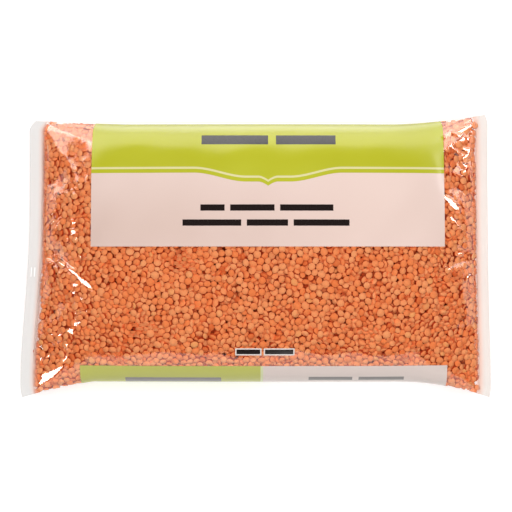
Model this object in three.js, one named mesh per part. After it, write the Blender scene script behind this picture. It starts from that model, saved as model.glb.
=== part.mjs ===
// A clear film pillow bag full of whole red lentils, lying on its back with its front face up.
// Sizes are in millimetres. X runs from end seal to end seal, Y across the bag and Z up.
// The origin lies under the middle of the bag, on the surface that the bag rests on.

import * as THREE from "three";
import { ParametricGeometry } from "three/addons/geometries/ParametricGeometry.js";
import { mergeVertices } from "three/addons/utils/BufferGeometryUtils.js";

// Overall size of the filled bag
const bagLength = 305;
const bagThickness = 61;
const rimToAxis = { back: 85.2, front: 81.3 };

// The lower corners of the end seals are pulled outwards, so that the end edges slant
const endSlant = { left: 5.8, right: 1.9 };
const slantStartsAt = 25;
const slantFade = 4;

// The four corners stand out past the waist of the bag, each by its own amount, and are cut back
const corners = {
  left: {
    back: { flare: 2.5, reach: 62, power: 1.2, cut: 4.2 },
    front: { flare: 10.3, reach: 44, power: 1.25, cut: 1.2 },
  },
  right: {
    back: { flare: 6.4, reach: 62, power: 1.6, cut: 2 },
    front: { flare: 10.3, reach: 58, power: 1.9, cut: 0.8 },
  },
};
const cornerCutWidth = 7;

// End seals: two films pressed together, with pressed lines along them
const sealWidth = { left: 8, right: 7 };
const sealThickness = 0.8;
const sealLineRelief = 0.5;
const sealLines = 3;
const sealHeight = 21;
const sealWave = { height: 1.4, pitch: 96, phase: 0.7, fade: 16 };

// How the height of the filled part runs along the bag
const rimHeight = 27;
const crown = { power: 4.2, root: 0.6 };
const belly = { depth: 31, power: 5, root: 0.5 };
const restBlend = 1.5;

// Exponents of the squared-off cross-section at the middle, for the upper and the lower half
const upperSection = { across: 2.6, up: 2.2 };
const lowerSection = { across: 3.4, up: 2.2 };
const sealSection = 2;
const sectionFade = 6;

// Creases that run into the bag from the end seals: where each starts, its way in and its size
const creases = [
  { end: "left", at: 7, turn: -38, length: 34, width: 5.5, depth: 0.62 },
  { end: "left", at: 46, turn: 24, length: 24, width: 6, depth: 0.3 },
  { end: "left", at: -38, turn: 12, length: 26, width: 6.5, depth: 0.32 },
  { end: "left", at: -72, turn: 40, length: 34, width: 6, depth: 0.3 },
  { end: "right", at: -2, turn: 6, length: 30, width: 5.5, depth: 0.6 },
  { end: "right", at: 34, turn: 44, length: 34, width: 5, depth: 0.3 },
  { end: "right", at: 68, turn: -30, length: 30, width: 6, depth: 0.34 },
  { end: "right", at: -46, turn: -20, length: 24, width: 6, depth: 0.28 },
  { end: "right", at: -74, turn: 35, length: 28, width: 6, depth: 0.26 },
];
const creaseFadeStart = 0.25;
const creaseWidening = 0.6;
const deepestCrease = 0.75;

// Slow lumps of the settled lentils under the film
const lumps = [
  { along: 118, across: 150, phase: 0.6, share: 0.018 },
  { along: 67, across: -83, phase: 2.1, share: 0.014 },
  { along: -41, across: 52, phase: 4.4, share: 0.01 },
];

// How finely the surface is divided
const pointsAround = 64;
const bodyStations = 50;
const crowdingAtEnds = 0.85;
const stationsPerLine = 4;

const bagColour = 0xe8895a;

const leftEdge = -bagLength / 2 + endSlant.left;
const rightEdge = bagLength / 2 - endSlant.right;
const innerEdge = {
  left: leftEdge + sealWidth.left,
  right: rightEdge - sealWidth.right,
};
const middle = (innerEdge.left + innerEdge.right) / 2;
const fillHalf = (innerEdge.right - innerEdge.left) / 2;

const clamp = THREE.MathUtils.clamp;
const smoothstep = THREE.MathUtils.smoothstep;
const mix = THREE.MathUtils.lerp;

const endNear = (along) => (along < middle ? "left" : "right");

// Distance into the filled part from the nearer end seal; it is negative on the seal
function depthFromSeal(along) {
  return Math.min(along - innerEdge.left, innerEdge.right - along);
}

// 0 at the middle of the bag and 1 at the end seals
function towardsEnd(along) {
  return clamp(1 - depthFromSeal(along) / fillHalf, 0, 1);
}

// Half width of the bag from its axis, on the back (+Y) or the front (-Y) side
function rimDistance(along, side) {
  const end = endNear(along);
  const corner = corners[end][side];
  const toEdge = end === "left" ? along - leftEdge : rightEdge - along;
  const share = clamp(1 - toEdge / corner.reach, 0, 1);
  return rimToAxis[side] + corner.flare * share ** corner.power;
}

// Share of the crown's height that the creases take away at a place
function creaseDepth(along, across) {
  let sum = 0;
  for (const crease of creases) {
    const inward = crease.end === "left" ? 1 : -1;
    const away = inward * (along - innerEdge[crease.end]);
    const sideways = across - crease.at;
    const angle = THREE.MathUtils.degToRad(crease.turn);
    const run = away * Math.cos(angle) + sideways * Math.sin(angle);
    const off = sideways * Math.cos(angle) - away * Math.sin(angle);
    const fade = 1 - smoothstep(run, crease.length * creaseFadeStart, crease.length);
    const width = crease.width * (1 + creaseWidening * clamp(run / crease.length, 0, 1));
    sum += crease.depth * fade * Math.exp(-((off / width) ** 2));
  }
  return Math.min(sum, deepestCrease);
}

function lumpShare(along, across) {
  let sum = 0;
  for (const lump of lumps)
    sum +=
      lump.share *
      Math.sin(2 * Math.PI * (along / lump.along + across / lump.across) + lump.phase);
  return sum;
}

// Height of the line where the upper and the lower film meet at the rim and in the seals
function meetingHeight(along, across) {
  const share = towardsEnd(along);
  const fade = Math.exp(-Math.max(depthFromSeal(along), 0) / sealWave.fade);
  const turn = (2 * Math.PI * across) / sealWave.pitch + sealWave.phase;
  return mix(rimHeight, sealHeight, share ** 2) + sealWave.height * fade * Math.sin(turn);
}

// Half thickness of the pressed film in the seals, with its lines; nothing at the cut edge
function filmHalf(along) {
  const end = endNear(along);
  const toEdge = end === "left" ? along - leftEdge : rightEdge - along;
  if (toEdge < 1e-6) return 0;
  const onSeal = clamp(toEdge / sealWidth[end], 0, 1);
  const line = Math.sin(Math.PI * sealLines * onSeal) ** 2;
  return (sealThickness + sealLineRelief * line) / 2;
}

// Rounds the lower film off into the flat patch that the bag rests on
function restOnTable(height) {
  if (height <= -restBlend) return 0;
  if (height >= restBlend) return height;
  return (height + restBlend) ** 2 / (4 * restBlend);
}

// Pulls the front parts of the end seals outwards, and cuts the corners back
function placeAlong(along, across, back, front) {
  const end = endNear(along);
  const outward = end === "left" ? -1 : 1;
  const fade = towardsEnd(along) ** slantFade;
  const slant = endSlant[end] * smoothstep(-across, -slantStartsAt, rimToAxis.front);
  const side = across > 0 ? "back" : "front";
  const toRim = across > 0 ? back - across : front + across;
  const cut = corners[end][side].cut * clamp(1 - toRim / cornerCutWidth, 0, 1) ** 2;
  return along + outward * fade * (slant - cut);
}

// A point of the film: along the bag, and an angle round it from the back rim over the top
function filmPoint(along, angle, target) {
  const share = towardsEnd(along);
  const upper = Math.sin(angle) >= 0;
  const section = upper ? upperSection : lowerSection;
  const toSeal = share ** sectionFade;
  const acrossPower = 2 / mix(section.across, sealSection, toSeal);
  const upPower = 2 / mix(section.up, sealSection, toSeal);
  const cosine = Math.cos(angle);
  const sine = Math.abs(Math.sin(angle));
  const atRim = sine < 1e-9;

  const back = rimDistance(along, "back");
  const front = rimDistance(along, "front");
  const spread = Math.sign(cosine) * Math.abs(cosine) ** acrossPower;
  const across = (back - front) / 2 + ((back + front) / 2) * spread;

  const level = meetingHeight(along, across);
  const film = filmHalf(along);
  let height = level;
  if (upper && !atRim) {
    const full = (bagThickness - rimHeight) * (1 - share ** crown.power) ** crown.root;
    const shaped = full * (1 - creaseDepth(along, across)) * (1 + lumpShare(along, across));
    height = level + Math.max(shaped * sine ** upPower, film);
  } else if (!atRim) {
    const full = belly.depth * (1 - share ** belly.power) ** belly.root;
    height = restOnTable(level - Math.max(full * sine ** upPower, film));
  }
  target.set(placeAlong(along, across, back, front), across, height);
}

// Places along the bag where its surface is divided: close together in the seals and the ends
function stationsAlong() {
  const places = [];
  const sealSteps = sealLines * stationsPerLine;
  for (let i = 0; i < sealSteps; i++)
    places.push(mix(leftEdge, innerEdge.left, i / sealSteps));
  for (let i = 0; i <= bodyStations; i++) {
    const even = i / bodyStations;
    const crowded = (1 - Math.cos(Math.PI * even)) / 2;
    const share = mix(even, crowded, crowdingAtEnds);
    places.push(mix(innerEdge.left, innerEdge.right, share));
  }
  for (let i = 1; i <= sealSteps; i++)
    places.push(mix(innerEdge.right, rightEdge, i / sealSteps));
  return places;
}

// The whole bag as one closed skin, from one cut edge to the other
function bagGeometry() {
  const places = stationsAlong();
  const last = places.length - 1;
  const point = (u, v, target) => {
    const along = places[Math.round(u * last)];
    const step = Math.round((1 - v) * pointsAround) % pointsAround; // this way round faces outwards
    filmPoint(along, (2 * Math.PI * step) / pointsAround, target);
  };
  const skin = new ParametricGeometry(point, last, pointsAround);
  skin.deleteAttribute("normal");
  skin.deleteAttribute("uv");
  const closed = mergeVertices(skin, 1e-4);
  closed.computeVertexNormals();
  return closed;
}

const bag = new THREE.Mesh(
  bagGeometry(),
  new THREE.MeshStandardMaterial({ color: bagColour, roughness: 0.35, metalness: 0 }),
);
bag.name = "lentil_bag";

const part = new THREE.Group();
part.add(bag);

export default part;
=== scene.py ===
# Looks of a bag of whole red lentils: loose lentils packed inside a clear, printed film.
import math

import bpy
import numpy as np
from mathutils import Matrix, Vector
from mathutils.bvhtree import BVHTree
from mathutils.kdtree import KDTree


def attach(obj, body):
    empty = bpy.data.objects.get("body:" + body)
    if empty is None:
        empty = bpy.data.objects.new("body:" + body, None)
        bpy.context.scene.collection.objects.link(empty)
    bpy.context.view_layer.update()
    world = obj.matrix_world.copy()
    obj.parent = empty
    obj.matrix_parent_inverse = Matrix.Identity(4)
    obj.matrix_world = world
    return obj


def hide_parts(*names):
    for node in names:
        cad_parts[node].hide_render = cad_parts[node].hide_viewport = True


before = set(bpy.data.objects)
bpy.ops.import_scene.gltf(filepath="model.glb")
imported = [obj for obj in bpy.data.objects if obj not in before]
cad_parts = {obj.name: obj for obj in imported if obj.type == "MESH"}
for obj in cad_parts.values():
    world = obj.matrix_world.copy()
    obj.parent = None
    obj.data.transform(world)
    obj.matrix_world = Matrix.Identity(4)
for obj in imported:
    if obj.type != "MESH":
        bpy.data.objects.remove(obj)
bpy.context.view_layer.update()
chance = np.random.default_rng(11)
millimetre = 0.001
print("frame loaded:", sorted(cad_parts))

# The bag's own form in millimetres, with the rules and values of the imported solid
bag = {
    "length": 305,
    "thickness": 61,
    "rim": {"back": 85.2, "front": 81.3},
    "slant": {"left": 5.8, "right": 1.9},
    "slantStart": 25,
    "slantFade": 4,
    # each corner: how far it stands out, over what length, by what power, how far it is cut back
    "corners": {
        "left": {"back": (2.5, 62, 1.2, 4.2), "front": (10.3, 44, 1.25, 1.2)},
        "right": {"back": (6.4, 62, 1.6, 2), "front": (10.3, 58, 1.9, 0.8)},
    },
    "cornerCutWidth": 7,
    "sealWidth": {"left": 8, "right": 7},
    "sealHeight": 21,
    "sealWave": {"height": 1.4, "pitch": 96, "phase": 0.7, "fade": 16},
    "rimHeight": 27,
    "crown": {"power": 4.2, "root": 0.6},
    "belly": {"depth": 31, "power": 5, "root": 0.5},
    "restBlend": 1.5,
    "upperSection": {"across": 2.6, "up": 2.2},
    "lowerSection": {"across": 3.4, "up": 2.2},
    "sealSection": 2,
    "sectionFade": 6,
    # creases from the end seals: end, place, way in, length, width, share of the height; three are
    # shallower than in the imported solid, where they would show as dark hollows between the lentils
    "creases": [
        ("left", 7, -38, 34, 5.5, 0.28),
        ("left", 46, 24, 24, 6, 0.3),
        ("left", -38, 12, 26, 6.5, 0.32),
        ("left", -72, 40, 34, 6, 0.3),
        ("right", -2, 6, 30, 5.5, 0.26),
        ("right", 34, 44, 34, 5, 0.16),
        ("right", 68, -30, 30, 6, 0.34),
        ("right", -46, -20, 24, 6, 0.28),
        ("right", -74, 35, 28, 6, 0.26),
    ],
    "creaseFadeStart": 0.25,
    "creaseWidening": 0.6,
    "deepestCrease": 0.75,
    # slow lumps of the settled lentils: pitch along, pitch across, phase, share of the height
    "lumps": [(118, 150, 0.6, 0.018), (67, -83, 2.1, 0.014), (-41, 52, 4.4, 0.01)],
}
leftEdge = -bag["length"] / 2 + bag["slant"]["left"]
rightEdge = bag["length"] / 2 - bag["slant"]["right"]
innerLeft = leftEdge + bag["sealWidth"]["left"]
innerRight = rightEdge - bag["sealWidth"]["right"]
middle = (innerLeft + innerRight) / 2
fillHalf = (innerRight - innerLeft) / 2


def ease(value, low, high):
    share = np.clip((value - low) / (high - low), 0, 1)
    return share * share * (3 - 2 * share)


def between(low, high, share):
    return low + (high - low) * share


def atEnd(along, left, right):
    return np.where(along < middle, left, right)


def intoBag(along):
    return np.minimum(along - innerLeft, innerRight - along)


def towardsEnd(along):
    return np.clip(1 - intoBag(along) / fillHalf, 0, 1)


def cornerFact(along, side, fact):
    corners = bag["corners"]
    return atEnd(along, corners["left"][side][fact], corners["right"][side][fact])


def rimDistance(along, side):
    toEdge = atEnd(along, along - leftEdge, rightEdge - along)
    share = np.clip(1 - toEdge / cornerFact(along, side, 1), 0, 1)
    return bag["rim"][side] + cornerFact(along, side, 0) * share ** cornerFact(along, side, 2)


def creaseShare(along, across):
    total = np.zeros(np.broadcast(along, across).shape)
    for end, place, turn, length, width, depth in bag["creases"]:
        away = along - innerLeft if end == "left" else innerRight - along
        sideways = across - place
        cosine, sine = math.cos(math.radians(turn)), math.sin(math.radians(turn))
        run = away * cosine + sideways * sine
        off = sideways * cosine - away * sine
        fade = 1 - ease(run, length * bag["creaseFadeStart"], length)
        wide = width * (1 + bag["creaseWidening"] * np.clip(run / length, 0, 1))
        total += depth * fade * np.exp(-((off / wide) ** 2))
    return np.minimum(total, bag["deepestCrease"])


def lumpShare(along, across):
    total = 0
    for spacingAlong, spacingAcross, phase, share in bag["lumps"]:
        turn = 2 * np.pi * (along / spacingAlong + across / spacingAcross) + phase
        total = total + share * np.sin(turn)
    return total


def meetingHeight(along, across):
    wave = bag["sealWave"]
    fade = np.exp(-np.maximum(intoBag(along), 0) / wave["fade"])
    ripple = wave["height"] * fade * np.sin(2 * np.pi * across / wave["pitch"] + wave["phase"])
    return between(bag["rimHeight"], bag["sealHeight"], towardsEnd(along) ** 2) + ripple


# A point of the smooth film, from its place along the bag and its angle round it
def bagPoint(along, angle, sealHalf):
    share = towardsEnd(along)
    upper = np.sin(angle) >= 0
    flat = share ** bag["sectionFade"]
    above, below = bag["upperSection"], bag["lowerSection"]
    roundness = np.where(upper, above["across"], below["across"])
    acrossPower = 2 / between(roundness, bag["sealSection"], flat)
    roundness = np.where(upper, above["up"], below["up"])
    upPower = 2 / between(roundness, bag["sealSection"], flat)
    cosine, sine = np.cos(angle), np.abs(np.sin(angle))
    back, front = rimDistance(along, "back"), rimDistance(along, "front")
    spread = np.sign(cosine) * np.abs(cosine) ** acrossPower
    across = (back - front) / 2 + (back + front) / 2 * spread

    level = meetingHeight(along, across)
    crown, belly = bag["crown"], bag["belly"]
    rise = (bag["thickness"] - bag["rimHeight"]) * (1 - share ** crown["power"]) ** crown["root"]
    rise = rise * (1 - creaseShare(along, across)) * (1 + lumpShare(along, across))
    sink = belly["depth"] * (1 - share ** belly["power"]) ** belly["root"]
    top = level + np.maximum(rise * sine**upPower, sealHalf)
    low = level - np.maximum(sink * sine**upPower, sealHalf)
    blend = bag["restBlend"]
    low = np.where(low <= -blend, 0, np.where(low >= blend, low, (low + blend) ** 2 / (4 * blend)))
    height = np.where(sine < 1e-9, level, np.where(upper, top, low))

    slant = atEnd(along, bag["slant"]["left"], bag["slant"]["right"])
    slant = slant * ease(-across, -bag["slantStart"], bag["rim"]["front"])
    toRim = np.where(across > 0, back - across, front + across)
    cut = np.where(across > 0, cornerFact(along, "back", 3), cornerFact(along, "front", 3))
    cut = cut * np.clip(1 - toRim / bag["cornerCutWidth"], 0, 1) ** 2
    place = along + atEnd(along, -1, 1) * share ** bag["slantFade"] * (slant - cut)
    return np.stack([place, across, height], axis=-1)


# The print on the film, in millimetres along the bag and across the unrolled film
label = {
    "front": {"left": -104.6, "right": 120.6, "low": 6, "high": 100},
    "line": {"level": 55.9, "middle": 8, "drop": 5.7, "dropFrom": 47, "dropTo": 14},
    "tip": {"height": 2.65, "width": 6, "power": 1.6},
    "paleLine": 0.65,
    "thinGreen": 2.5,
    "back": {"left": -110.4, "right": 122.2, "high": -70.1, "low": -158},
    "split": {"at": 4.8, "line": 1.6},
    "frontBars": [
        (-34.8, -19.5, 28.6, 32.6), (-16, 12, 28.6, 32.6), (15.5, 49.2, 28.6, 32.6),
        (-46.1, -9, 19.1, 23.1), (-5.5, 20.5, 19.1, 23.1), (24, 59.4, 19.1, 23.1),
    ],
    "headBars": [(-34.4, 8, 71, 77), (13, 51, 71, 77)],
    "lowerBars": [(-12.1, 3, -62.4, -59.4), (6, 24, -62.4, -59.4)],
    "lowerBarsEdge": 0.8,
    "pressedMarks": [(-144.4, -143.7, -13.4, -7.4), (-142.2, -141.5, -13.4, -7.4)],
    "backBars": [(34, 62, -79.6, -77.4), (66, 95, -79.6, -77.4), (-83, -22, -80.8, -77.8)],
}


# The film is a grid of stations along the bag and places round it, finest near the ends
film = {
    "stationsInSeal": 14,
    "fineStep": 0.72,
    "coarseStep": 2.0,
    "fineReach": (30, 62),
    "placesAbove": 258,
    "placesBelow": 112,
    "samplesAlong": 6001,
    "samplesRound": 4001,
    "sealHalf": 0.16,
    "lineRelief": 0.12,
    "sealLines": 3,
    "overLentils": 0.06,
    "deepestSag": 0.45,
    "sagOnPrint": 0.08,
    "sagAtRims": 0.25,
    "rimsFrom": (48, 62),
    "smoothings": 14,
    "sagFadesInto": (1, 6),
    "sagWhereThick": (3, 8),
    "besidePrint": 2,
    "tornAcross": 100,
}


def stationsAlong():
    fine = np.linspace(innerLeft, innerRight, film["samplesAlong"])
    step = between(film["fineStep"], film["coarseStep"], ease(intoBag(fine), *film["fineReach"]))
    count = np.concatenate([[0], np.cumsum(np.diff(fine) / step[1:])])
    body = np.interp(np.linspace(0, count[-1], round(count[-1]) + 1), count, fine)
    left = np.linspace(leftEdge, innerLeft, film["stationsInSeal"], endpoint=False)
    right = np.linspace(innerRight, rightEdge, film["stationsInSeal"] + 1)[1:]
    return np.concatenate([left, body, right])


# Angles that lie evenly round the middle of the bag, with a place on each rim
def anglesRound():
    angles = []
    for start, count in ((0, film["placesAbove"]), (np.pi, film["placesBelow"])):
        fine = np.linspace(start, start + np.pi, film["samplesRound"])
        path = bagPoint(np.full(fine.shape, middle), fine + 1e-7 * np.cos(fine), 0)
        steps = np.linalg.norm(np.diff(path, axis=0), axis=1)
        length = np.concatenate([[0], np.cumsum(steps)])
        angles.append(np.interp(np.linspace(0, length[-1], count, endpoint=False), length, fine))
    return np.concatenate(angles)


def sealThickness(along):
    toEdge = atEnd(along, along - leftEdge, rightEdge - along)
    width = atEnd(along, bag["sealWidth"]["left"], bag["sealWidth"]["right"])
    onSeal = np.clip(toEdge / width, 0, 1)
    line = np.sin(np.pi * film["sealLines"] * onSeal) ** 2
    return np.where(toEdge < 1e-6, 0, film["sealHalf"] + film["lineRelief"] / 2 * line)


def gridNormals(points):
    alongStep = np.gradient(points, axis=0)
    roundStep = (np.roll(points, -1, axis=1) - np.roll(points, 1, axis=1)) / 2
    normals = np.cross(alongStep, roundStep)
    return normals / np.maximum(np.linalg.norm(normals, axis=-1, keepdims=True), 1e-9)


along = stationsAlong()[:, None]
angles = anglesRound()[None, :]
smoothFilm = bagPoint(along, angles, sealThickness(along))
filmNormals = gridNormals(smoothFilm)
outwards = np.sign((filmNormals[:, :, 2] * np.sign(np.sin(angles))).mean())
filmNormals *= outwards
print("film grid:", smoothFilm.shape)


# Quads of a grid that closes round the bag, turned so that they face outwards
def gridFaces(rows, columns):
    row, column = np.meshgrid(np.arange(rows - 1), np.arange(columns), indexing="ij")
    following = (column + 1) % columns
    corners = [row * columns + column, row * columns + following]
    corners += [(row + 1) * columns + following, (row + 1) * columns + column]
    faces = np.stack(corners, axis=-1).reshape(-1, 4)
    return faces if outwards < 0 else faces[:, ::-1]


filmFaces = gridFaces(*smoothFilm.shape[:2])
filmTree = BVHTree.FromPolygons(smoothFilm.reshape(-1, 3).tolist(), filmFaces.tolist())


# The nearest point of the film to each given point, and the way out through it there
def onFilm(points, tree=filmTree):
    found = [tree.find_nearest(point) for point in points.tolist()]
    return np.array([place for place, *_ in found]), np.array([normal for _, normal, *_ in found])


def meshFrom(name, points, faces):
    mesh = bpy.data.meshes.new(name)
    mesh.from_pydata((points.reshape(-1, 3) * millimetre).tolist(), [], faces)
    mesh.shade_smooth()
    return mesh


def placed(name, content):
    piece = bpy.data.objects.new(name, content)
    bpy.context.scene.collection.objects.link(piece)
    return piece


# Lentils are packed under the film: flattened balls push each other apart and press outwards
lentils = {
    "diameter": (4.85, 0.5, 3.7, 6.1),
    "thickness": (2.4, 0.2, 1.9, 2.9),
    "oval": (0.8, 1.0),
    "layerDepth": 5.6,
    "shallowest": 1,
    "besideSeals": 1,
    "fillShare": 0.8,
    "clearance": 0.1,
    "settling": (0.0, 0.85),
    "tiltSpread": 31,
    "edgeShare": 0.17,
    "edgeTilt": (48, 88),
    "edgePatches": 80,
    "patchSize": 9,
    "patchShare": 0.6,
    "patchDisorder": 0.25,
    "rounds": 80,
    "roundsPerSearch": 4,
    "closeness": 0.95,
    "farthestCounts": 0.25,
    "push": 0.32,
    "pressOutwards": 0.12,
    "sinkAtMost": 1.5,
    "drawnWider": 1.1,
    "deepShadeFrom": (0.4, 2.6),
    "lyingFrom": (0.55, 0.9),
    "crossingFilm": -0.5,
    "outermost": 4050,
    "sides": {"outermost": 8, "under": 7},
    "squeezed": {
        "reach": (1.2, 18), "gap": (0.8, 9.0), "apart": 3.7, "thickness": 0.9, "tilt": 0.12,
    },
}
profile = {"rings": 4, "fullness": 0.66, "lumpSize": 4.2, "unevenness": 1.05, "shoulderReach": 0.08}
shoulder = math.sin(math.pi / profile["rings"])
shoulder *= 1 + profile["fullness"] * shoulder * (1 - shoulder**2)


def nearPairs(points, reach):
    cells = np.floor(points / reach).astype(np.int64)
    cells -= cells.min(0) - 1
    size = cells.max(0) + 2
    key = (cells[:, 0] * size[1] + cells[:, 1]) * size[2] + cells[:, 2]
    order = np.argsort(key, kind="stable")
    sortedKey = key[order]
    found = []
    steps = [(a, b, c) for a in (-1, 0, 1) for b in (-1, 0, 1) for c in (-1, 0, 1)]
    for step in steps[len(steps) // 2:]:
        other = key + (step[0] * size[1] + step[1]) * size[2] + step[2]
        start = np.searchsorted(sortedKey, other, "left")
        count = np.searchsorted(sortedKey, other, "right") - start
        first = np.repeat(np.arange(len(points)), count)
        offset = np.arange(count.sum()) - np.repeat(np.cumsum(count) - count, count)
        second = order[np.repeat(start, count) + offset]
        if step == (0, 0, 0):
            keep = first < second
            first, second = first[keep], second[keep]
        near = ((points[first] - points[second]) ** 2).sum(1) < reach * reach
        found.append(np.stack([first[near], second[near]]))
    return np.concatenate(found, axis=1)


def unit(vectors):
    return vectors / np.maximum(np.linalg.norm(vectors, axis=-1, keepdims=True), 1e-9)


# How far a lentil reaches along a direction: through its middle, and to its outermost point
def halfThrough(direction, axis, radius, half):
    up = np.abs((direction * axis).sum(1))
    return 1 / np.sqrt(np.maximum(1 - up * up, 0) / radius**2 + up * up / half**2)


def farthest(direction, axis, radius, half):
    up = np.abs((direction * axis).sum(1))
    flat, high = radius * np.sqrt(np.maximum(1 - up * up, 0)), half * up
    return np.maximum(np.maximum(flat, high), shoulder * (flat + high))


def someOf(spread, count):
    centre, deviation, low, high = spread
    return np.clip(chance.normal(centre, deviation, count), low, high)


# The drawn size of lentils, how they are spun about their axis, and their tint
def drawn(radius, half):
    wide, count = radius * lentils["drawnWider"], len(radius)
    return {
        "size": 2 * np.stack([wide, wide * chance.uniform(*lentils["oval"], count), half], axis=1),
        "spin": chance.uniform(0, 2 * np.pi, count),
        "tint": chance.random(count),
    }


# Places and flat directions of lentils strewn under the film, some of them standing on edge
def strewn():
    corner = smoothFilm.reshape(-1, 3)[filmFaces]
    diagonals = corner[:, 2] - corner[:, 0], corner[:, 3] - corner[:, 1]
    area = np.linalg.norm(np.cross(*diagonals), axis=1) / 2
    centre = corner.mean(1)
    inset = lentils["besideSeals"]
    area[(centre[:, 0] < innerLeft + inset) | (centre[:, 0] > innerRight - inset)] = 0
    volume = np.pi / 6 * lentils["diameter"][0] ** 2 * lentils["thickness"][0]
    count = int(area.sum() * lentils["layerDepth"] * lentils["fillShare"] / volume)
    picked = chance.choice(len(filmFaces), count, p=area / area.sum())
    weights = chance.dirichlet([1, 1, 1, 1], count)
    start = (corner[picked] * weights[:, :, None]).sum(1)
    foot, normal = onFilm(start)
    depth = chance.uniform(lentils["shallowest"], lentils["layerDepth"], count)
    place = start - normal * depth[:, None]

    tilt = np.radians(chance.normal(0, lentils["tiltSpread"], count))
    sideways = unit(np.cross(normal, unit(chance.normal(size=(count, 3)))))
    patch = start[chance.integers(0, count, lentils["edgePatches"])]
    patchWay = unit(chance.normal(size=(len(patch), 3)))
    away = np.linalg.norm(start[:, None] - patch[None], axis=2)
    inPatch = (away.min(1) < lentils["patchSize"]) & (chance.random(count) < lentils["patchShare"])
    onEdge = inPatch | (chance.random(count) < lentils["edgeShare"])
    tilt[onEdge] = np.radians(chance.uniform(*lentils["edgeTilt"], onEdge.sum()))
    patchWay = patchWay[away.argmin(1)] + lentils["patchDisorder"] * chance.normal(size=(count, 3))
    sideways[inPatch] = unit(np.cross(normal, patchWay))[inPatch]
    return place, normal * np.cos(tilt)[:, None] + sideways * np.sin(tilt)[:, None]


def packLentils():
    place, axis = strewn()
    count = len(place)
    radius = someOf(lentils["diameter"], count) / 2
    half = someOf(lentils["thickness"], count) / 2
    hold = lentils["clearance"] + chance.uniform(*lentils["settling"], count) ** 2
    share = lentils["farthestCounts"]
    for step in range(lentils["rounds"]):
        if step % lentils["roundsPerSearch"] == 0:
            foot, normal = onFilm(place)
            first, second = nearPairs(place, lentils["diameter"][3])
        gap = place[second] - place[first]
        distance = np.linalg.norm(gap, axis=1)
        way = gap / np.maximum(distance, 1e-6)[:, None]
        reach = 0
        for index in (first, second):
            facts = (way, axis[index], radius[index], half[index])
            reach = reach + (1 - share) * halfThrough(*facts) + share * farthest(*facts)
        overlap = np.maximum(reach * lentils["closeness"] - distance, 0)
        push = way * (overlap * lentils["push"])[:, None]
        for side in range(3):
            forwards = np.bincount(second, push[:, side], count)
            backwards = np.bincount(first, push[:, side], count)
            place[:, side] += forwards - backwards
        place += normal * lentils["pressOutwards"] * (1 - step / lentils["rounds"])
        depth = ((foot - place) * normal).sum(1)
        out = farthest(normal, axis, radius, half) + hold - depth
        place -= normal * np.maximum(out, 0)[:, None]
        sunk = depth - lentils["layerDepth"] - lentils["sinkAtMost"]
        place += normal * np.maximum(sunk, 0)[:, None]
    foot, normal = onFilm(place)
    below = ((foot - place) * normal).sum(1) - farthest(normal, axis, radius, half)
    return {
        "place": place,
        "axis": axis,
        **drawn(radius, half),
        # deep: how far below the film a lentil lies, used to darken it as painted shade
        "deep": ease(below, *lentils["deepShadeFrom"]),
        "lying": ease(np.abs((normal * axis).sum(1)), *lentils["lyingFrom"]),
        "upward": normal[:, 2] > 0,
        "below": below,
    }


# Where the two films nearly meet, by the seals and in the corners, lentils lie flat in one layer
def squeezedIn(taken):
    facts = lentils["squeezed"]
    near = (intoBag(along[:, 0]) > facts["reach"][0]) & (intoBag(along[:, 0]) < facts["reach"][1])
    starts = smoothFilm[near][:, :film["placesAbove"] + 1].reshape(-1, 3)
    starts = starts[chance.permutation(len(starts))]
    others = KDTree(len(taken))
    for index, point in enumerate(taken.tolist()):
        others.insert(point, index)
    others.balance()
    chosen = np.empty((0, 3))
    gaps = []
    for point in starts:
        below = filmTree.ray_cast((point - (0, 0, 0.02)).tolist(), (0, 0, -1))[3]
        if below is None or not facts["gap"][0] < below < facts["gap"][1]:
            continue
        middlePoint = point - (0, 0, below / 2)
        nearest = np.linalg.norm(chosen - middlePoint, axis=1).min(initial=np.inf)
        if min(nearest, others.find(middlePoint.tolist())[2]) > facts["apart"]:
            chosen = np.vstack([chosen, middlePoint])
            gaps.append(below)
    count = len(chosen)
    radius = someOf(lentils["diameter"], count) / 2
    half = np.minimum(np.array(gaps) * facts["thickness"], lentils["thickness"][0]) / 2
    return {
        "place": chosen,
        "axis": unit(chance.normal(0, facts["tilt"], (count, 3)) + (0, 0, 1)),
        **drawn(radius, half),
        "deep": np.zeros(count),
        "lying": np.ones(count),
        "upward": np.ones(count, bool),
        "below": np.zeros(count),
    }


packed = packLentils()
kept = packed["below"] > lentils["crossingFilm"]
packed = {fact: values[kept] for fact, values in packed.items()}
flat = squeezedIn(packed["place"])
print("lentils packed:", len(kept), "kept:", kept.sum(), "squeezed in:", len(flat["place"]))
packed = {fact: np.concatenate([values, flat[fact]]) for fact, values in packed.items()}


# Adds a node to a tree: its settings, and its inputs set to values or linked to other nodes
def added(tree, kind, values=None, settings=None, output=0):
    node = tree.nodes.new(kind)
    for key, value in (settings or {}).items():
        setattr(node, key, value)
    for key, value in (values or {}).items():
        if isinstance(value, Wire):
            tree.links.new(value.socket, node.inputs[key])
        else:
            node.inputs[key].default_value = value
    return Wire(tree, node.outputs[output]) if len(node.outputs) else node


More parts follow.
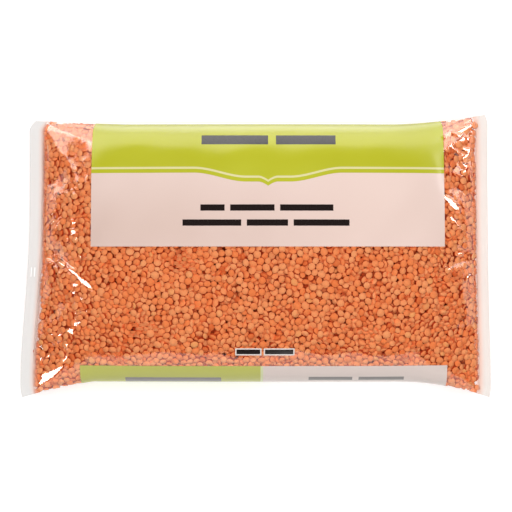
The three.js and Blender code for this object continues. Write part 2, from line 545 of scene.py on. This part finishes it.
# The output of a node, so that formulas can be written with plain operators
class Wire:
    def __init__(self, tree, socket):
        self.tree = tree
        self.socket = socket

    def maths(self, operation, *values):
        values = dict(enumerate(values))
        return added(self.tree, "ShaderNodeMath", values, {"operation": operation})

    def __add__(self, other):
        return self.maths("ADD", self, other)

    def __sub__(self, other):
        return self.maths("SUBTRACT", self, other)

    def __rsub__(self, other):
        return self.maths("SUBTRACT", other, self)

    def __mul__(self, other):
        return self.maths("MULTIPLY", self, other)

    def __rtruediv__(self, other):
        return self.maths("DIVIDE", other, self)

    def __pow__(self, other):
        return self.maths("POWER", self, other)

    def __abs__(self):
        return self.maths("ABSOLUTE", self)

    __radd__ = __add__
    __rmul__ = __mul__

    def atLeast(self, other):
        return self.maths("MAXIMUM", self, other)

    def ramp(self, low, high):
        values = {0: self, 1: low, 2: high}
        return added(self.tree, "ShaderNodeMapRange", values, {"interpolation_type": "SMOOTHSTEP"})

    def over(self, edge, soft=0.08):
        return self.ramp(edge - soft, edge + soft)

    def under(self, edge, soft=0.08):
        return 1 - self.over(edge, soft)


# Geometry Nodes shape one lentil and set it, turned and sized, on every packed place
def lentilTree():
    tree = bpy.data.node_groups.new("lentils on places", "GeometryNodeTree")
    inputs = {
        "Places": ("NodeSocketGeometry", None),
        "Sides": ("NodeSocketInt", lentils["sides"]["outermost"]),
        "Rings": ("NodeSocketInt", profile["rings"]),
        "Fullness": ("NodeSocketFloat", profile["fullness"]),
        "Lump size": ("NodeSocketFloat", profile["lumpSize"] * millimetre),
        "Unevenness": ("NodeSocketFloat", profile["unevenness"] * millimetre),
        "Material": ("NodeSocketMaterial", None),
    }
    for name, (kind, value) in inputs.items():
        socket = tree.interface.new_socket(name, in_out="INPUT", socket_type=kind)
        if value is not None:
            socket.default_value = value
    tree.interface.new_socket("Lentils", in_out="OUTPUT", socket_type="NodeSocketGeometry")

    def node(*facts):
        return added(tree, *facts)

    def fact(name, kind="FLOAT"):
        return node("GeometryNodeInputNamedAttribute", {"Name": name}, {"data_type": kind})

    sockets = tree.nodes.new("NodeGroupInput").outputs
    given = {name: Wire(tree, sockets[name]) for name in inputs}
    ball = node("GeometryNodeMeshUVSphere", {
        "Segments": given["Sides"], "Rings": given["Rings"], "Radius": 0.5,
    })
    place = node("GeometryNodeInputPosition")
    up = abs(node("ShaderNodeSeparateXYZ", {0: place}, None, 2)) * 2
    scale = up * (1 - up * up) * given["Fullness"] + 1
    wider = node("ShaderNodeVectorMath", {0: place, "Scale": scale}, {"operation": "SCALE"})
    shaped = node("GeometryNodeSetPosition", {"Geometry": ball, "Position": wider})
    marked = node("GeometryNodeStoreNamedAttribute", {
        "Geometry": shaped, "Name": "rim", "Value": 1 - up,
    }, {"data_type": "FLOAT", "domain": "POINT"})

    smooth = node("GeometryNodeSetShadeSmooth", {"Geometry": marked})
    atShoulder = node("FunctionNodeCompare", {
        0: fact("rim"),
        1: 1 - math.cos(math.pi / profile["rings"]),
        "Epsilon": profile["shoulderReach"],
    }, {"operation": "EQUAL"})
    crisp = node("GeometryNodeSetShadeSmooth", {
        "Geometry": smooth, "Selection": atShoulder, "Shade Smooth": False,
    }, {"domain": "EDGE"})

    spin = node("ShaderNodeCombineXYZ", {2: fact("spin")})
    spun = node("FunctionNodeEulerToRotation", {0: spin})
    turn = node("FunctionNodeAlignRotationToVector", {
        "Rotation": spun, "Vector": fact("axis", "FLOAT_VECTOR"),
    }, {"axis": "Z"})
    copies = node("GeometryNodeInstanceOnPoints", {
        "Points": node("GeometryNodeMeshToPoints", {0: given["Places"]}),
        "Instance": crisp, "Rotation": turn, "Scale": fact("size", "FLOAT_VECTOR"),
    })
    real = node("GeometryNodeRealizeInstances", {0: copies})

    facts = {"Scale": 1 / given["Lump size"], "Detail": 1.0}
    lumps = node("ShaderNodeTexNoise", facts, None, "Color")
    middleGrey = (0.5, 0.5, 0.5)
    centred = node("ShaderNodeVectorMath", {0: lumps, 1: middleGrey}, {"operation": "SUBTRACT"})
    offset = node("ShaderNodeVectorMath", {
        0: centred, "Scale": given["Unevenness"],
    }, {"operation": "SCALE"})
    uneven = node("GeometryNodeSetPosition", {"Geometry": real, "Offset": offset})
    coloured = node("GeometryNodeSetMaterial", {"Geometry": uneven, "Material": given["Material"]})
    node("NodeGroupOutput", {"Lentils": coloured})
    return tree


def lentilPiece(name, chosen, tree, sides, material):
    places = bpy.data.meshes.new(name + "_places")
    places.from_pydata((packed["place"][chosen] * millimetre).tolist(), [], [])
    for fact in ("axis", "size", "spin", "tint", "deep", "lying"):
        values = packed[fact][chosen] * (millimetre if fact == "size" else 1)
        kind, field = ("FLOAT", "value") if values.ndim == 1 else ("FLOAT_VECTOR", "vector")
        data = places.attributes.new(fact, kind, "POINT").data
        data.foreach_set(field, values.astype(np.float32).ravel())
    carrier = placed(name + "_carrier", places)
    modifier = carrier.modifiers.new("lentils", "NODES")
    modifier.node_group = tree
    given = {"Sides": sides, "Material": material}
    for socket in tree.interface.items_tree:
        if socket.in_out == "INPUT" and socket.name in given:
            modifier[socket.identifier] = given[socket.name]
    ready = carrier.evaluated_get(bpy.context.evaluated_depsgraph_get())
    mesh = bpy.data.meshes.new_from_object(ready)
    mesh.name = name
    bpy.data.objects.remove(carrier)
    return placed(name, mesh)


# Flattens the lentils where they press against the film, so that none of them crosses it
def pressInside(mesh, tree, clearance):
    points = np.empty(len(mesh.vertices) * 3, np.float32)
    mesh.vertices.foreach_get("co", points)
    points = points.reshape(-1, 3) / millimetre
    foot, normal = onFilm(points, tree)
    depth = ((foot - points) * normal).sum(1)
    points += -normal * np.maximum(clearance - depth, 0)[:, None]
    mesh.vertices.foreach_set("co", (points * millimetre).astype(np.float32).ravel())
    mesh.update()


# The film lies on the outermost lentils and sags a little between them
def drapedFilm(meshes):
    points, faces, start = [], [], 0
    for mesh in meshes:
        places = np.empty(len(mesh.vertices) * 3, np.float32)
        mesh.vertices.foreach_get("co", places)
        points += (places.reshape(-1, 3) / millimetre).tolist()
        faces += [[start + corner for corner in face.vertices] for face in mesh.polygons]
        start += len(mesh.vertices)
    tree = BVHTree.FromPolygons(points, faces)
    most = film["deepestSag"]
    room = [
        tree.ray_cast(point, (-normal).tolist(), most + film["overLentils"])[3]
        for point, normal in zip(smoothFilm.reshape(-1, 3), filmNormals.reshape(-1, 3))
    ]
    room = np.array([most if gap is None else max(gap - film["overLentils"], 0) for gap in room])
    room = room.reshape(smoothFilm.shape[:2]) * ease(intoBag(along), *film["sagFadesInto"])
    room *= ease(thicknessHere(), *film["sagWhereThick"])
    room *= between(1, film["sagOnPrint"], onPrint())
    room *= between(1, film["sagAtRims"], ease(np.abs(smoothFilm[:, :, 1]), *film["rimsFrom"]))
    sag = room.copy()
    for _ in range(film["smoothings"]):
        sag = (2 * sag + np.roll(sag, 1, 1) + np.roll(sag, -1, 1)) / 4
        sag[1:-1] = (2 * sag[1:-1] + sag[:-2] + sag[2:]) / 4
        sag = np.minimum(sag, room)
    return smoothFilm - filmNormals * sag[:, :, None]


# 1 where the film carries print, which keeps it smooth, and 0 where it is clear
def onPrint():
    def reached(value, edge):
        return ease(value, edge - film["besidePrint"], edge)

    across = smoothFilm[:, :, 1]
    front, back = label["front"], label["back"]
    above = reached(along, front["left"]) * reached(-along, -front["right"])
    above = above * reached(across, front["low"]) * (np.sin(angles) > -1e-6)
    below = reached(along, back["left"]) * reached(-along, -back["right"])
    below = below * reached(-across, -back["high"])
    return np.maximum(above, below)


# How far apart the upper and the lower film are, above and below each point of the grid
def thicknessHere():
    mirrored = bagPoint(along, -angles, sealThickness(along))
    return np.abs(smoothFilm[:, :, 2] - mirrored[:, :, 2])


# Small facets near the ends where the film is drawn taut: place, turn, length, width and lean
facets = {
    "soft": 0.9,
    "softTip": 0.1,
    "leastShare": 0.02,
    "wrap": 0.00102,
    "left": {
        "centre": (-124, -27),
        "slope": (0.52, 0.116),
        "places": [
            (-125, -4.2, -36, 19, 2.6, 0.5), (-116.3, -10.4, -33, 11.5, 3.2, -0.2),
            (-108.3, -16.9, -40, 15.5, 3.6, 0.5), (-132.2, -4.1, -28, 7, 1.4, 0),
            (-115.1, -17.8, -9, 7, 2, 0.4), (-130.3, 27.9, 49, 9, 1.5, 0),
            (-131.9, 20.1, 47, 14, 1.4, 0), (-127.7, 19.9, 54, 12, 1.4, 0),
            (-115.7, 21.7, -23, 6, 2, 0.3), (-116.2, 15.5, 1, 6.5, 3.2, 0),
            (-114.3, 11.5, -91, 4.5, 1.5, 0), (-118.8, -47.7, 18, 8, 2.6, 0.3),
            (-118.9, -47.7, -83, 7, 1.7, 0), (-121.3, -57.6, 4, 3.6, 3, 0),
            (-132.4, -77.3, 36, 29, 4.6, 0.1), (-138.6, -59.2, -50, 7, 1.5, 0),
        ],
    },
    "right": {
        "centre": (131, 41),
        "slope": (-0.545, -0.167),
        "places": [
            (134.8, 82, 26, 19, 3, 0.1), (132.2, 77.7, -13, 12, 1.6, 0),
            (138.3, 75.8, -112, 11, 1.5, 0), (134.1, 74.9, 13, 5, 3.2, 0),
            (136.1, 68.7, -4, 9, 3.4, 0.3), (135.8, 64.3, -142, 10.5, 3.6, 0.2),
            (129.2, 67.4, -40, 9.5, 1.6, 0), (134.8, 58.5, -28, 7.5, 3.2, 0.2),
            (134.8, 54.6, -148, 6, 2.8, 0.4), (124.5, 34.6, -44, 19, 4, 0.85),
            (126.3, 23, -32, 6, 2.6, 0), (128.9, 20.4, -61, 6, 2, 0.4),
            (121.1, 76, 3, 2.6, 2.2, 0), (130.3, 1.4, -21, 4, 1.5, 0),
            (132, 1.7, -49, 3, 1.2, 0), (137.1, -13.5, 29, 6, 2.2, 0.2),
        ],
    },
}


def pulledTaut(points):
    upper = slice(0, film["placesAbove"] + 1)
    x, y, height = points[:, upper, 0], points[:, upper, 1], points[:, upper, 2]
    for end in ("left", "right"):
        centre, slope = facets[end]["centre"], facets[end]["slope"]
        for alongHere, acrossHere, turn, length, width, lean in facets[end]["places"]:
            dx, dy = x - alongHere, y - acrossHere
            cosine, sine = math.cos(math.radians(turn)), math.sin(math.radians(turn))
            run = (dx * cosine + dy * sine) / (length / 2)
            off = np.abs(dy * cosine - dx * sine)
            half = width / 2 * np.clip(1 - run * run, 0, 1) * (1 + lean * run)
            share = ease(half + facets["soft"] - off, 0, facets["soft"])
            share = share * ease(1 - np.abs(run), 0, facets["softTip"])
            plane = dx * (slope[0] + facets["wrap"] * (alongHere - centre[0]))
            plane += dy * (slope[1] + facets["wrap"] * (acrossHere - centre[1]))
            touched = share > facets["leastShare"]
            if touched.any():
                lift = (height - plane)[touched].max()
                height = height + (plane + lift - height) * share
    points[:, upper, 2] = height
    return points


# The film's own map: its place along the bag, and its place across when the bag is unrolled
def mapFilm(mesh):
    across = smoothFilm[:, :, 1]
    back = np.broadcast_to(rimDistance(along, "back"), across.shape)
    front = np.broadcast_to(rimDistance(along, "front"), across.shape)
    under = np.broadcast_to(angles > np.pi + 1e-9, across.shape)
    fromFront = under & (angles < np.pi * 1.5)
    unrolled = np.where(under, np.where(fromFront, -2 * front - across, 2 * back - across), across)
    corners = np.empty(len(mesh.loops), np.int64)
    mesh.loops.foreach_get("vertex_index", corners)
    values = [np.broadcast_to(along, across.shape).ravel()[corners], unrolled.ravel()[corners]]
    perFace = values[1].reshape(-1, 4)
    wholeTurn = (2 * back + 2 * front).ravel()[corners].reshape(-1, 4)
    torn = np.ptp(perFace, axis=1) > film["tornAcross"]
    values[1] = np.where(torn[:, None] & (perFace < 0), perFace + wholeTurn, perFace).ravel()
    layer = mesh.uv_layers.new(name="unrolled")
    layer.uv.foreach_set("vector", np.stack(values, axis=1).astype(np.float32).ravel())


# The lentils deep inside are one solid mass, a little smaller than the bag
core = {
    "depth": 5.2, "thinnest": 1.6, "fromSeals": 9,
    "stations": 90, "placesRound": 64, "turned": 0.01,
}


def coreMesh():
    first, last = innerLeft + core["fromSeals"], innerRight - core["fromSeals"]
    place = np.linspace(first, last, core["stations"])[:, None]
    turn = np.linspace(0, 2 * np.pi, core["placesRound"], endpoint=False)[None, :]
    points = bagPoint(place, turn + core["turned"], 0)
    across, height = points[:, :, 1].copy(), points[:, :, 2].copy()
    level = meetingHeight(place, across)
    tallest = np.abs(height - level).max(axis=1, keepdims=True)
    share = 1 - core["depth"] / np.maximum(tallest, core["depth"] * core["thinnest"])
    points[:, :, 1] = across * (1 - core["depth"] / np.abs(across).max(axis=1, keepdims=True))
    points[:, :, 2] = level + (height - level) * share
    count = core["placesRound"]
    total = core["stations"] * count
    caps = [list(range(count)), list(range(total - count, total))]
    caps[0 if outwards < 0 else 1].reverse()
    return meshFrom("lentil_mass", points, gridFaces(*points.shape[:2]).tolist() + caps)


class Finish:
    def __init__(self, name):
        self.material = bpy.data.materials.new(name)
        self.material.use_nodes = True
        self.tree = self.material.node_tree
        self.tree.nodes.clear()

    def node(self, *facts):
        return added(self.tree, *facts)

    # Mixes two colours, each the output of a node or a colour of the photograph's scale
    def blend(self, share, *pair):
        first, second = [shade if isinstance(shade, Wire) else colour(*shade) for shade in pair]
        return self.node("ShaderNodeMix", {0: share, 6: first, 7: second}, {"data_type": "RGBA"}, 2)

    # Lays one colour over what is there, where a value rises through a range
    def laidOver(self, base, value, look):
        return self.blend(value.ramp(*look["over"]) * look["share"], base, look["colour"])

    def noise(self, size, detail, place):
        facts = {"Scale": 1 / size, "Detail": detail, "Vector": place}
        return self.node("ShaderNodeTexNoise", facts)

    def fact(self, name):
        return self.node("ShaderNodeAttribute", None, {"attribute_name": name}, "Fac")

    def objectPlace(self):
        return self.node("ShaderNodeTexCoord", None, None, "Object")

    def bump(self, strength, distance, height):
        facts = {"Strength": strength, "Distance": distance, "Height": height}
        return self.node("ShaderNodeBump", facts)

    def finish(self, surface):
        self.node("ShaderNodeOutputMaterial", {"Surface": surface})
        return self.material


# A colour of the photograph's scale, 0 to 255, as Blender's linear one
def colour(red, green, blue):
    shares = [value / 255 for value in (red, green, blue)]
    return (*[((c + 0.055) / 1.055) ** 2.4 if c > 0.04045 else c / 12.92 for c in shares], 1)


# Looks of the lentils: colours on the photograph's scale, and sizes in metres
skinLooks = {
    "mottle": {"size": 0.0024, "detail": 3.0},
    "grain": {"size": 0.0005, "detail": 2.0},
    "shades": ((252, 137, 76), (255, 168, 111)),
    "yellow": {"over": (0.965, 0.99), "share": 0.6, "colour": (246, 170, 100)},
    "ruddy": {"over": (0.955, 0.99), "share": 0.6, "colour": (222, 100, 48)},
    "mottled": {"over": (0.4, 0.8), "share": 0.25, "colour": (236, 118, 56)},
    "specks": {"over": (0.68, 0.76), "share": 0.3, "colour": (160, 66, 30)},
    # rim: painted shade, each lentil's rim darkened towards the colour of the shaded gaps between
    # lentils
    "rim": {"over": (0.2, 0.55), "lying": 0.65, "always": 0.3, "colour": (172, 44, 5)},
    # deep: painted shade, lentils lying deeper below the film are darkened
    "deep": {"share": 0.9, "colour": (158, 38, 4)},
    "roughness": 0.6,
    "gloss": 0.12,
    "bump": {"strength": 0.25, "distance": 0.0003},
    # the mass: painted shade of the lentils deep inside, darker than any lentil and darkest between
    # its lumps
    "massLumps": {"scale": 210.0, "over": (0.1, 0.6)},
    "massPaintedShade": ((170, 70, 26), (110, 38, 12)),
    "massRoughness": 0.8,
}


def lentilFinish():
    look = skinLooks
    skin = Finish("dry red lentil skin")
    tint, rim, deep = skin.fact("tint"), skin.fact("rim"), skin.fact("deep")
    place = skin.objectPlace()
    mottle = skin.noise(**look["mottle"], place=place)
    grain = skin.noise(**look["grain"], place=place)
    shades = skin.blend(tint, *look["shades"])
    shades = skin.laidOver(shades, tint, look["yellow"])
    shades = skin.laidOver(shades, 1 - tint, look["ruddy"])
    shades = skin.laidOver(shades, mottle, look["mottled"])
    shades = skin.laidOver(shades, grain, look["specks"])
    # Painted shade: the rims are darkened towards the colour of the shaded gaps between lentils,
    # most on lentils lying flat
    edge = rim.ramp(*look["rim"]["over"])
    edge = edge * (skin.fact("lying") * look["rim"]["lying"] + look["rim"]["always"])
    shades = skin.blend(edge, shades, look["rim"]["colour"])
    # Painted shade: lentils lying deeper below the film are darkened and reddened
    shades = skin.blend(deep * look["deep"]["share"], shades, look["deep"]["colour"])
    return skin.finish(skin.node("ShaderNodeBsdfPrincipled", {
        "Base Color": shades,
        "Roughness": look["roughness"],
        "Specular IOR Level": look["gloss"],
        "Normal": skin.bump(**look["bump"], height=grain + mottle),
    }))


# The mass is coloured far darker than the lentils and darker still between its lumps: painted shade
# of the lentils deep inside
def massFinish():
    look = skinLooks
    mass = Finish("packed lentils deep inside")
    facts = {"Scale": look["massLumps"]["scale"], "Vector": mass.objectPlace()}
    lumps = mass.node("ShaderNodeTexVoronoi", facts, None, "Distance")
    shades = mass.blend(lumps.ramp(*look["massLumps"]["over"]), *look["massPaintedShade"])
    facts = {"Base Color": shades, "Roughness": look["massRoughness"]}
    return mass.finish(mass.node("ShaderNodeBsdfPrincipled", facts))


# Looks of the film: the inks, the milky seals, and how much of each hides what lies behind
filmLooks = {
    "cloud": {"size": 0.07, "detail": 3.0},
    "cloudOver": (0.3, 0.7),
    "white": ((224, 196, 184), (230, 203, 192)),
    # the white ink made lighter towards the top and towards the right: painted light
    "whitePaintedLightUpwards": {"over": (15, 60), "share": 0.6, "colour": (244, 219, 209)},
    "whitePaintedLightRightwards": {"over": (-20, 100), "share": 0.7, "colour": (244, 217, 206)},
    "leaf": ((189, 189, 36), (195, 195, 43)),
    "paleLine": (230, 222, 164),
    "back": ((225, 208, 200), (190, 190, 88)),
    "splitLine": (214, 218, 168),
    "barsEdge": (236, 226, 220),
    "greyInk": (128, 122, 118),
    "ink": (34, 26, 24),
    "milky": ((240, 239, 237), (249, 241, 235)),
    "sealFades": (-3, 3.2),
    # a painted glow: the milky seal tinted pink towards its inner edge, covering the shade there
    "paintedLentilGlow": (253, 190, 160),
    "pressed": (254, 254, 254),
    "clear": (255, 247, 238),
    "sealWider": 0.8,
    "sealEnds": {"edge": 1.9, "soft": 2.4},
    "hides": {"ink": 0.985, "seal": 0.68, "pressed": 0.9},
    "shine": {"least": 0.085, "grazing": 0.1, "power": 4},
    "grazing": (0.55, 0.72),
    "upwards": (0.5, 0.8),
    "dullOver": {"edge": 0.03, "soft": 0.02},
    "roughness": {"clear": 0.1, "printed": 0.4},
    "coatLostLow": 0.85,
    "coatRoughness": 0.24,
    "ripple": {"size": 0.006, "detail": 2.0},
    "bump": {"strength": 0.05, "distance": 0.0004},
}


def bars(along, across, places, grow=0.0):
    total = 0
    for left, right, low, high in places:
        inside = along.over(left - grow) * along.under(right + grow)
        total = total + inside * across.over(low - grow) * across.under(high + grow)
    return total


def filmFinish():
    look = filmLooks
    clear = Finish("clear printed film")
    unrolled = clear.node("ShaderNodeUVMap", None, {"uv_map": "unrolled"})
    u = clear.node("ShaderNodeSeparateXYZ", {0: unrolled}, None, 0)
    w = clear.node("ShaderNodeSeparateXYZ", {0: unrolled}, None, 1)
    place = clear.objectPlace()

    front, back, line = label["front"], label["back"], label["line"]
    tip, split = label["tip"], label["split"]
    onFront = u.over(front["left"]) * u.under(front["right"])
    onFront = onFront * w.over(front["low"]) * w.under(front["high"])
    aside = abs(u - line["middle"])
    drop = (1 - aside.ramp(line["dropTo"], line["dropFrom"])) * line["drop"]
    point = (1 - aside * (1 / tip["width"])).atLeast(0) ** tip["power"] * tip["height"]
    above = w - (line["level"] - drop - point)
    green = above.over(label["paleLine"])
    pale = above.over(-label["paleLine"]) - green
    thin = above.over(-label["paleLine"] - label["thinGreen"]) - green - pale
    onBack = u.over(back["left"]) * u.under(back["right"])
    onBack = onBack * w.under(back["high"]) * w.over(back["low"])
    barsEdge = bars(u, w, label["lowerBars"], label["lowerBarsEdge"])
    ink = bars(u, w, label["frontBars"] + label["headBars"] + label["lowerBars"])
    greyInk = bars(u, w, label["backBars"])

    cloud = clear.noise(**look["cloud"], place=place).ramp(*look["cloudOver"])
    white = clear.blend(cloud, *look["white"])
    # Painted light: the white ink is lightened towards the top and towards the right of the print
    white = clear.laidOver(white, w, look["whitePaintedLightUpwards"])
    white = clear.laidOver(white, u, look["whitePaintedLightRightwards"])
    shade = clear.blend(green + thin, white, clear.blend(cloud, *look["leaf"]))
    shade = clear.blend(pale, shade, look["paleLine"])
    backShade = clear.blend(u.under(split["at"]), *look["back"])
    splitLine = u.over(split["at"] - split["line"]) * u.under(split["at"])
    backShade = clear.blend(splitLine, backShade, look["splitLine"])
    printed = clear.blend(onBack, shade, backShade)
    printed = clear.blend(barsEdge, printed, look["barsEdge"])
    printed = clear.blend(greyInk, printed, look["greyInk"])
    printed = clear.blend(ink, printed, look["ink"])

    hides = look["hides"]
    inked = onFront.atLeast(onBack).atLeast(barsEdge)
    inward = fillHalf - abs(u - middle) + u.over(0) * look["sealWider"]
    seal = inward.under(**look["sealEnds"])
    pressed = bars(u, w, label["pressedMarks"])
    solid = (inked * hides["ink"]).atLeast(seal * hides["seal"]).atLeast(pressed * hides["pressed"])
    milky = clear.blend(u.over(0), *look["milky"])
    # Painted light: towards its inner edge the milky seal is tinted with a pink glow of the lentils,
    # which covers the shade where the film meets the seal
    milky = clear.blend(inward.ramp(*look["sealFades"]), milky, look["paintedLentilGlow"])
    milky = clear.blend(pressed, milky, look["pressed"])
    facing = clear.node("ShaderNodeLayerWeight", {"Blend": 0.5}, None, "Facing")
    shine = facing ** look["shine"]["power"] * look["shine"]["grazing"] + look["shine"]["least"]
    surface = clear.node("ShaderNodeTexCoord", None, None, "Normal")
    upwards = clear.node("ShaderNodeSeparateXYZ", {0: surface}, None, 2)
    seenLow = facing.ramp(*look["grazing"]) * upwards.ramp(*look["upwards"])
    dull = solid.over(**look["dullOver"])
    base = clear.blend(dull, look["clear"], clear.blend(inked, milky, printed))
    ripple = clear.noise(**look["ripple"], place=place)
    gloss = clear.node("ShaderNodeBsdfPrincipled", {
        "Base Color": base,
        "Metallic": 1 - dull,
        "Roughness": dull * look["roughness"]["printed"] + look["roughness"]["clear"],
        "Coat Weight": dull * (1 - seenLow * look["coatLostLow"]),
        "Coat Roughness": look["coatRoughness"],
        "Specular IOR Level": 0.0,
        "Normal": clear.bump(**look["bump"], height=ripple),
    })
    through = clear.node("ShaderNodeBsdfTransparent")
    opacity = shine.atLeast(solid)
    return clear.finish(clear.node("ShaderNodeMixShader", {0: opacity, 1: through, 2: gloss}))


tree = lentilTree()
skin = lentilFinish()
upward = packed["upward"]
outer = np.zeros(len(upward), bool)
for side in (upward, ~upward):
    members = np.flatnonzero(side)
    outer[members[np.argsort(packed["below"][members])[:lentils["outermost"]]]] = True
lentilPieces = []
for name, chosen, layer in (
    ("lentils_front", outer & upward, "outermost"),
    ("lentils_back", outer & ~upward, "outermost"),
    ("lentils_front_under", ~outer & upward, "under"),
    ("lentils_back_under", ~outer & ~upward, "under"),
):
    piece = lentilPiece(name, chosen, tree, lentils["sides"][layer], skin)
    pressInside(piece.data, filmTree, lentils["clearance"])
    triangles = sum(len(face.vertices) - 2 for face in piece.data.polygons)
    print(name, chosen.sum(), "lentils", triangles, "triangles")
    lentilPieces.append(piece)

filmPoints = pulledTaut(drapedFilm([piece.data for piece in lentilPieces[:2]]))
finalTree = BVHTree.FromPolygons(filmPoints.reshape(-1, 3).tolist(), filmFaces.tolist())
for piece in lentilPieces:
    pressInside(piece.data, finalTree, film["overLentils"])
print("lentils lie under the draped film")
filmPiece = placed("film", meshFrom("film", filmPoints, filmFaces.tolist()))
mapFilm(filmPiece.data)
filmPiece.data.materials.append(filmFinish())
print("film:", len(filmPiece.data.polygons), "faces")
massPiece = placed("lentil_mass", coreMesh())
massPiece.data.materials.append(massFinish())
for piece in [filmPiece, massPiece] + lentilPieces:
    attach(piece, "root")
    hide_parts("lentil_bag")

# Studio: a pale floor, a broad soft light above, and lights that show only in the film's gloss
studio = {
    "floorSize": 6,
    "floorLevel": -0.0002,
    "floorColour": (226, 226, 226),
    "floorGlow": 0.45,
    "worldStrength": 0.12,
    "target": (0, 0, 0.03),
    "above": {"place": (0.05, 0.15, 1.9), "size": (2.4, 2.4), "power": 49},
    "glossLights": {
        "back": {"place": (0, 1.1, 0.31), "size": (3.6, 0.62), "radiance": 4.0},
        "back_floor": {
            "place": (0, 0.3, 0.004), "size": (1.1, 0.36), "radiance": 3.0, "target": (0, 0.3, 1),
        },
        "front_low": {"place": (0, -1.1, 0.2), "size": (3.6, 0.44), "radiance": 1.2},
        "front_high": {"place": (0, -1.1, 0.61), "size": (3.6, 0.38), "radiance": 1.3},
        "back_left": {"place": (-1.02, 0.82, 0.32), "size": (0.78, 0.62), "radiance": 4.0},
        "back_right": {"place": (1.02, 0.82, 0.33), "size": (0.78, 0.64), "radiance": 4.0},
        "small_left": {"place": (-1.246, -0.277, 0.666), "size": (0.08, 0.08), "radiance": 26},
        "small_right": {"place": (1.23, 0.38, 0.57), "size": (0.1, 0.1), "radiance": 20},
    },
}


def floorPiece():
    half, level = studio["floorSize"] / 2, studio["floorLevel"]
    corners = [(x * half, y * half, level) for x, y in ((-1, -1), (1, -1), (1, 1), (-1, 1))]
    mesh = bpy.data.meshes.new("floor")
    mesh.from_pydata(corners, [], [(0, 1, 2, 3)])
    paper = Finish("pale studio floor")
    mesh.materials.append(paper.finish(paper.node("ShaderNodeBsdfPrincipled", {
        "Base Color": colour(*studio["floorColour"]),
        "Roughness": 0.9,
        "Emission Color": colour(255, 255, 255),
        "Emission Strength": studio["floorGlow"],
    })))
    placed("floor", mesh)


def lamp(name, place, size, power, target=studio["target"]):
    light = bpy.data.lights.new(name, "AREA")
    light.shape = "RECTANGLE"
    light.size, light.size_y = size
    light.energy = power
    made = placed(name, light)
    made.location = place
    made.rotation_euler = (Vector(target) - Vector(place)).to_track_quat("-Z", "Y").to_euler()
    made.visible_camera = False
    return made


floorPiece()
lamp("light_above", **studio["above"]).visible_glossy = False
for name, facts in studio["glossLights"].items():
    power = facts["radiance"] * math.pi * facts["size"][0] * facts["size"][1]
    target = facts.get("target", studio["target"])
    glossLamp = lamp("gloss_" + name, facts["place"], facts["size"], power, target)
    glossLamp.visible_diffuse = False

world = bpy.data.worlds.new("studio")
bpy.context.scene.world = world
world.use_nodes = True
world.node_tree.nodes["Background"].inputs["Color"].default_value = (1, 1, 1, 1)
world.node_tree.nodes["Background"].inputs["Strength"].default_value = studio["worldStrength"]
world.cycles_visibility.glossy = False
bpy.context.scene.view_settings.view_transform = "Standard"

lens = {"focal": 150, "sensor": 36, "level": 0.024, "acrossFrame": 0.3316, "aside": 0.0003}
camera = bpy.data.cameras.new("camera")
camera.lens = lens["focal"]
camera.sensor_width = lens["sensor"]
cameraPiece = placed("camera", camera)
distance = lens["acrossFrame"] * lens["focal"] / lens["sensor"]
cameraPiece.location = (lens["aside"], 0, lens["level"] + distance)
bpy.context.scene.camera = cameraPiece
